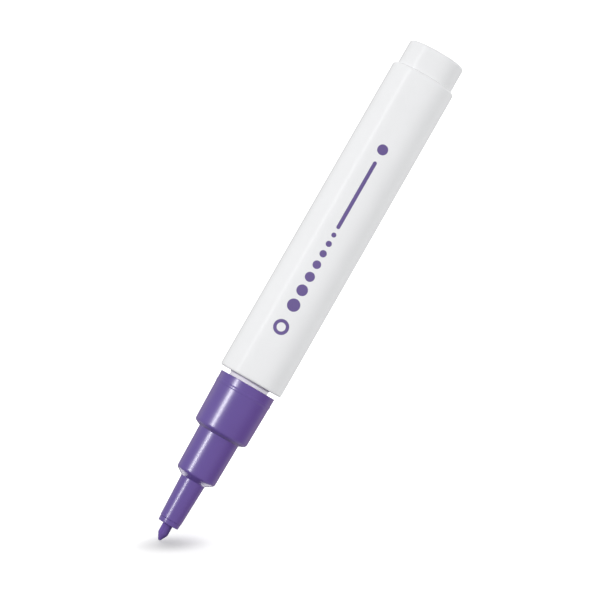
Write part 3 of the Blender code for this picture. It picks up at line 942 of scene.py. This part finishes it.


# %% [markdown]
# ## Floor, background and light
# The marker stands on its nib on a white floor that runs out of sight. The floor is a plane turned to face
# up in the picture, with its middle at the spot where the painted shadow under the nib lies.

# %% Floor
FLOOR_SIZE = 1900.0 * MM
FLOOR_GAP = 0.4 * MM
PAINTED_SHADOW_RIGHT = 2.83 * MM
PAINTED_SHADOW_NEAR = 1.78 * MM
PAINTED_SHADOW_TURN = math.radians(10.3)
VIEW_HEIGHT = math.radians(15.3)
up = from_picture(0.0, math.cos(VIEW_HEIGHT), math.sin(VIEW_HEIGHT))
nib_point = Vector((0.0, 0.0, nib_high.z))
start_clean()
bpy.ops.mesh.primitive_plane_add(size=FLOOR_SIZE)
floor = bpy.context.active_object
floor.name = "floor"
floor_right = from_picture(1.0, 0.0, 0.0)
floor_near = floor_right.cross(up)
painted_shadow_middle = nib_point - up * FLOOR_GAP + floor_right * PAINTED_SHADOW_RIGHT + floor_near * PAINTED_SHADOW_NEAR
floor_turn = Matrix((floor_right, -floor_near, up)).transposed().to_4x4()
floor.matrix_world = Matrix.Translation(painted_shadow_middle) @ floor_turn @ Matrix.Rotation(PAINTED_SHADOW_TURN, 4, "Z")
floor.visible_glossy = False
floor.visible_shadow = False
print("floor under the nib, facing", [round(part, 2) for part in up])

# %% [markdown]
# The floor takes the lamps' light and glows a little, so that it is white to the camera. It glows least in
# an oval spot round the nib: a painted shadow, laid over the real one that the lamp beyond the tail throws.
# What it throws back on the marker is duller. Seen from below it is clear, so that it never hides the marker
# in another view.

# %% Floor finish
FLOOR_COLOUR = (0.86, 0.86, 0.86, 1.0)
FLOOR_BOUNCE = (0.5, 0.5, 0.5, 1.0)
# The glow is weakest round the nib, as a painted shadow, and rises to an even white farther out.
PAINTED_SHADOW_FLATNESS = 1.55
GLOW_END = 80.0 * MM
GLOW_AND_PAINTED_SHADOW_BY_REACH = {0.0: 0.208, 10.2 * MM: 0.56, GLOW_END: 1.0}


def set_stops(ramp, shades):
    """Gives a colour ramp its grey stops, as {position: shade}, in rising order."""
    stops = ramp.color_ramp.elements
    while len(stops) < len(shades):
        stops.new(1.0)
    for stop, (position, shade) in zip(stops, shades.items()):
        stop.position = position
        stop.color = (shade, shade, shade, 1.0)


floor_paint = bpy.data.materials.new("floor_paint")
floor_paint.use_nodes = True
floor_nodes = floor_paint.node_tree.nodes
floor_nodes.clear()
floor_out = floor_nodes.new("ShaderNodeOutputMaterial")
matte = floor_nodes.new("ShaderNodeBsdfDiffuse")
matte.inputs["Color"].default_value = FLOOR_COLOUR
dull = floor_nodes.new("ShaderNodeBsdfDiffuse")
dull.inputs["Color"].default_value = FLOOR_BOUNCE
spot = floor_nodes.new("ShaderNodeTexCoord")
flatten = floor_nodes.new("ShaderNodeVectorMath")
flatten.operation = "MULTIPLY"
flatten.inputs[1].default_value = (1.0, PAINTED_SHADOW_FLATNESS, 1.0)
reach = floor_nodes.new("ShaderNodeVectorMath")
reach.operation = "LENGTH"
share = floor_nodes.new("ShaderNodeMapRange")
share.inputs["From Max"].default_value = GLOW_END
glow_and_painted_shadow = floor_nodes.new("ShaderNodeValToRGB")
glow_and_painted_shadow.color_ramp.interpolation = "EASE"
set_stops(glow_and_painted_shadow, {distance / GLOW_END: light for distance, light in GLOW_AND_PAINTED_SHADOW_BY_REACH.items()})
glow = floor_nodes.new("ShaderNodeEmission")
clear = floor_nodes.new("ShaderNodeBsdfTransparent")
path = floor_nodes.new("ShaderNodeLightPath")
side = floor_nodes.new("ShaderNodeNewGeometry")
glowing = floor_nodes.new("ShaderNodeAddShader")
seen = floor_nodes.new("ShaderNodeMixShader")
sided = floor_nodes.new("ShaderNodeMixShader")
link_all(
    floor_paint.node_tree,
    (spot.outputs["Object"], flatten.inputs[0]),
    (flatten.outputs["Vector"], reach.inputs[0]),
    (reach.outputs["Value"], share.inputs["Value"]),
    (share.outputs["Result"], glow_and_painted_shadow.inputs["Fac"]),
    (glow_and_painted_shadow.outputs["Color"], glow.inputs["Strength"]),
    (matte.outputs["BSDF"], glowing.inputs[0]),
    (glow.outputs["Emission"], glowing.inputs[1]),
    (path.outputs["Is Camera Ray"], seen.inputs["Fac"]),
    (dull.outputs["BSDF"], seen.inputs[1]),
    (glowing.outputs["Shader"], seen.inputs[2]),
    (side.outputs["Backfacing"], sided.inputs["Fac"]),
    (seen.outputs["Shader"], sided.inputs[1]),
    (clear.outputs["BSDF"], sided.inputs[2]),
    (sided.outputs["Shader"], floor_out.inputs["Surface"]),
)
floor.data.materials.append(floor_paint)
print("floor glow by reach:", GLOW_AND_PAINTED_SHADOW_BY_REACH)

# %% [markdown]
# The camera and reflections see an even white room. What lights matte surfaces is uneven: strong from
# beyond the tail, a little weaker from the sides and weak from beyond the nib. Light from the side reaches
# into the groove behind the collar, and faces that look towards the nib stay darker.

# %% World
WHITE = (1.0, 1.0, 1.0, 1.0)
LIGHT_BY_HEIGHT = {-1.0: 0.6, -0.5: 0.6, -0.2: 0.5, 0.2: 0.5, 0.6: 0.22, 1.0: 0.22}
world = bpy.data.worlds.new("white_room")
world.use_nodes = True
bpy.context.scene.world = world
world_nodes = world.node_tree.nodes
world_nodes.clear()
world_out = world_nodes.new("ShaderNodeOutputWorld")
shown = world_nodes.new("ShaderNodeBackground")
shown.inputs["Color"].default_value = WHITE
shown.inputs["Strength"].default_value = 1.0
ambient = world_nodes.new("ShaderNodeBackground")
ambient.inputs["Color"].default_value = WHITE
direction = world_nodes.new("ShaderNodeTexCoord")
parts = world_nodes.new("ShaderNodeSeparateXYZ")
rise = world_nodes.new("ShaderNodeMapRange")
rise.inputs["From Min"].default_value = -1.0
band = world_nodes.new("ShaderNodeValToRGB")
set_stops(band, {(height + 1.0) / 2.0: light for height, light in LIGHT_BY_HEIGHT.items()})
world_path = world_nodes.new("ShaderNodeLightPath")
seen_or_mirrored = world_nodes.new("ShaderNodeMath")
seen_or_mirrored.operation = "MAXIMUM"
seen_or_clear = world_nodes.new("ShaderNodeMath")
seen_or_clear.operation = "MAXIMUM"
choose = world_nodes.new("ShaderNodeMixShader")
link_all(
    world.node_tree,
    (direction.outputs["Generated"], parts.inputs["Vector"]),
    (parts.outputs["Z"], rise.inputs["Value"]),
    (rise.outputs["Result"], band.inputs["Fac"]),
    (band.outputs["Color"], ambient.inputs["Strength"]),
    (world_path.outputs["Is Camera Ray"], seen_or_mirrored.inputs[0]),
    (world_path.outputs["Is Glossy Ray"], seen_or_mirrored.inputs[1]),
    (seen_or_mirrored.outputs["Value"], seen_or_clear.inputs[0]),
    (world_path.outputs["Is Transmission Ray"], seen_or_clear.inputs[1]),
    (seen_or_clear.outputs["Value"], choose.inputs["Fac"]),
    (ambient.outputs["Background"], choose.inputs[1]),
    (shown.outputs["Background"], choose.inputs[2]),
    (choose.outputs["Shader"], world_out.inputs["Surface"]),
)
print("world: white to the camera, light by height", LIGHT_BY_HEIGHT)

# %% [markdown]
# Lamps are placed along the marker from its middle, and round its axis by their angle from the viewer
# towards the left. Light linking gives each lamp the pieces that it lights, as a studio does with flags.

# %% Lamp helpers
middle = Vector((0.0, 0.0, nib_high.z / 2))
tipward = Vector((0.0, 0.0, 1.0))
viewer = from_picture(0.0, 0.0, 1.0)
front = (viewer - viewer.dot(tipward) * tipward).normalized()
left = tipward.cross(front).normalized()


def around(degrees):
    """A direction square to the marker, turned from the viewer towards the left."""
    angle = math.radians(degrees)
    return front * math.cos(angle) + left * math.sin(angle)


def facing(outward, along):
    """A turn that points Z outwards and Y along a direction."""
    across = along.cross(outward).normalized()
    return Matrix((across, outward.cross(across), outward)).transposed().to_4x4()


def add_lamp(name, centre, outward, distance, width, length, power):
    """A rectangular lamp that faces a centre from a distance, with its length along the marker."""
    data = bpy.data.lights.new(name, "AREA")
    data.shape = "RECTANGLE"
    data.size = width
    data.size_y = length
    data.energy = power
    lamp = bpy.data.objects.new(name, data)
    lamp.matrix_world = Matrix.Translation(centre + outward * distance) @ facing(outward, tipward)
    lamp.visible_camera = False
    bpy.context.scene.collection.objects.link(lamp)
    return lamp


def add_side_lamp(name, along, degrees, **shape):
    """A lamp beside the marker: so far along it from its middle, and so far round it."""
    return add_lamp(name, middle + along * tipward, around(degrees), **shape)


def light_only(lamp, *things):
    """Links a lamp to the things that it lights. Others neither get its light nor mirror it."""
    lit = bpy.data.collections.new(f"lit_by_{lamp.name}")
    for thing in things:
        lit.objects.link(thing)
    lamp.light_linking.receiver_collection = lit


# %% [markdown]
# A soft key at the left of the camera lights the front and reaches into the groove behind the collar. A soft
# fill at the right lights the white pieces, and a warmer one in the same place lights the purple section.
# They are too broad to mirror well, so reflections don't see them.

# %% Soft lamps
WARM_LIGHT = (1.0, 0.74, 0.77)
key_shape = {"distance": 700.0 * MM, "width": 400.0 * MM, "length": 60.0 * MM}
fill_shape = {"distance": 700.0 * MM, "width": 300.0 * MM, "length": 60.0 * MM}
fill_place = {"along": -60.0 * MM, "degrees": -74.0}
white_pieces = (barrel, barrel_print, tail_plug)
key = add_side_lamp("key", along=-30.0 * MM, degrees=40.0, power=2.72, **key_shape)
fill = add_side_lamp("fill", power=2.20, **fill_place, **fill_shape)
warm_fill = add_side_lamp("warm_fill", power=2.25, **fill_place, **fill_shape)
warm_fill.data.color = WARM_LIGHT
for lamp in (key, fill, warm_fill):
    lamp.visible_glossy = False
light_only(key, *white_pieces, front_section, nib)
light_only(fill, *white_pieces)
light_only(warm_fill, front_section)
print("soft lamps:", key.name, fill.name, warm_fill.name)

# %% [markdown]
# Strips draw the long highlights: a faint one on the white pieces, a bright one on the collar and the stage,
# and another for the tube, whose steeper taper mirrors a place farther forward. Two low lamps behind the
# marker and beyond its nib draw the crescents on the stage's cone. Lamps for the purple section show only
# in reflections.

# %% Strips and low lamps
faint_shape = {"distance": 500.0 * MM, "width": 95.0 * MM, "length": 332.0 * MM}
bright_shape = {"distance": 500.0 * MM, "width": 25.0 * MM, "length": 128.0 * MM}
tube_shape = {"distance": 500.0 * MM, "width": 25.0 * MM, "length": 60.0 * MM}
low_shape = {"along": 450.0 * MM, "distance": 454.0 * MM, "width": 110.0 * MM, "length": 380.0 * MM}
faint_strip = add_side_lamp("faint_strip", along=-134.0 * MM, degrees=56.0, power=0.20, **faint_shape)
light_only(faint_strip, *white_pieces)
purple_lamps = [
    add_side_lamp("bright_strip", along=24.0 * MM, degrees=43.5, power=1.74, **bright_shape),
    add_side_lamp("tube_strip", along=120.0 * MM, degrees=44.5, power=0.50, **tube_shape),
    add_side_lamp("low_left", degrees=151.7, power=0.65, **low_shape),
    add_side_lamp("low_right", degrees=208.3, power=0.65, **low_shape),
]
for lamp in purple_lamps:
    lamp.visible_diffuse = False
    light_only(lamp, front_section)
print("strips and low lamps:", [faint_strip.name, *(lamp.name for lamp in purple_lamps)])

# %% [markdown]
# A lamp far up beyond the tail lights the floor alone, and the marker keeps its light from the spot under
# the nib. The lamp's size sets how soft that real shadow is; the floor's weaker glow paints an oval shadow
# over it.

# %% Lamp beyond the tail
TAIL_LAMP_LEAN = math.radians(26.0)
TAIL_LAMP_NEARNESS = -0.11
tail_shape = {"distance": 720.0 * MM, "width": 75.0 * MM, "length": 75.0 * MM}
tail_light = from_picture(math.sin(TAIL_LAMP_LEAN), math.cos(TAIL_LAMP_LEAN), TAIL_LAMP_NEARNESS).normalized()
tail_lamp = add_lamp("tail_lamp", nib_point, tail_light, power=0.8, **tail_shape)
light_only(tail_lamp, floor)
print("lamp for the shadow:", tail_lamp.name)

# %% [markdown]
# Plastic shows its surroundings, and a room that is white all round leaves it flat. A curved grey screen
# stands at the right of the marker and round its back. A skirt and an apron carry it on past the nib, dark
# only behind. Reflections alone see them: they draw the darker band down the right and quiet the edges.
# Each is a clear cylinder whose darkness follows the angle round it.

# %% Reflection screen
SCREEN_SIDES = 96
SCREEN_RADIUS = 300.0 * MM
SCREEN_START = -125.0 * MM
SCREEN_END = 92.0 * MM
SKIRT_END = 190.0 * MM
SKIRT_DARKNESS = {-180.0: 0.55, -120.0: 0.55, -110.0: 0.0, 110.0: 0.0, 120.0: 0.55, 180.0: 0.55}
APRON_END = 330.0 * MM
APRON_DARKNESS = {-180.0: 0.9, -164.0: 0.9, -157.0: 0.0, 157.0: 0.0, 164.0: 0.9, 180.0: 0.9}
SCREEN_DARKNESS = {
    -180.0: 0.36,
    -144.0: 0.34,
    -116.0: 0.32,
    -92.0: 0.88,
    -74.0: 0.67,
    -60.0: 0.42,
    -48.0: 0.0,
    130.0: 0.0,
    144.0: 0.36,
    180.0: 0.36,
}
screen_turn = Matrix((front, left, front.cross(left))).transposed().to_4x4()


def only_in_reflections(thing):
    """Hides a thing of the stage from all but reflections."""
    thing.visible_camera = False
    thing.visible_diffuse = False
    thing.visible_shadow = False
    thing.visible_transmission = False


def shade_finish(name):
    """A black that a mask mixes with clear. Returns the material and its mix."""
    material = bpy.data.materials.new(name)
    material.use_nodes = True
    nodes = material.node_tree.nodes
    nodes.clear()
    leave = nodes.new("ShaderNodeOutputMaterial")
    mix = nodes.new("ShaderNodeMixShader")
    see_through = nodes.new("ShaderNodeBsdfTransparent")
    black = nodes.new("ShaderNodeEmission")
    black.inputs["Strength"].default_value = 0.0
    link_all(
        material.node_tree,
        (see_through.outputs["BSDF"], mix.inputs[1]),
        (black.outputs["Emission"], mix.inputs[2]),
        (mix.outputs["Shader"], leave.inputs["Surface"]),
    )
    return material, mix


def add_screen(name, low, high, shades):
    """A clear cylinder between two heights from the marker's middle, dark by the angle round it."""
    start_clean()
    bpy.ops.mesh.primitive_cylinder_add(
        vertices=SCREEN_SIDES, radius=SCREEN_RADIUS, depth=high - low, end_fill_type="NOTHING"
    )
    screen = bpy.context.active_object
    screen.name = name
    screen.matrix_world = Matrix.Translation(middle + (low + high) / 2 * tipward) @ screen_turn
    only_in_reflections(screen)
    paint, mix = shade_finish(f"{name}_paint")
    nodes = paint.node_tree.nodes
    place = nodes.new("ShaderNodeTexCoord")
    angle = nodes.new("ShaderNodeTexGradient")
    angle.gradient_type = "RADIAL"
    darkness = nodes.new("ShaderNodeValToRGB")
    set_stops(darkness, {degrees / 360.0 + 0.5: shade for degrees, shade in shades.items()})
    link_all(
        paint.node_tree,
        (place.outputs["Object"], angle.inputs["Vector"]),
        (angle.outputs["Fac"], darkness.inputs["Fac"]),
        (darkness.outputs["Color"], mix.inputs["Fac"]),
    )
    screen.data.materials.append(paint)


add_screen("reflection_screen", SCREEN_START, SCREEN_END, SCREEN_DARKNESS)
add_screen("reflection_skirt", SCREEN_END, SKIRT_END, SKIRT_DARKNESS)
add_screen("reflection_apron", SKIRT_END, APRON_END, APRON_DARKNESS)
print("reflection screen:", SCREEN_DARKNESS)

# %% [markdown]
# A dark card lies beyond the tip. The cone in front of the stage looks that way, so the card darkens it.

# %% Dark card beyond the tip
CARD_SIDES = 64
CARD_DARKNESS = 0.95
CARD_RADIUS = 88.0 * MM
CARD_DISTANCE = 110.0 * MM
start_clean()
bpy.ops.mesh.primitive_circle_add(vertices=CARD_SIDES, radius=CARD_RADIUS, fill_type="NGON")
card = bpy.context.active_object
card.name = "dark_card"
card.matrix_world = Matrix.Translation(nib_point + CARD_DISTANCE * tipward)
only_in_reflections(card)
card_paint, card_mix = shade_finish("card_paint")
card_mix.inputs["Fac"].default_value = CARD_DARKNESS
card.data.materials.append(card_paint)
print(f"dark card {CARD_DISTANCE / MM:.0f} mm beyond the tip")

# %% [markdown]
# ## The end
# Colours are shown through the Standard view transform.

# %% Finish
bpy.context.scene.view_settings.view_transform = "Standard"
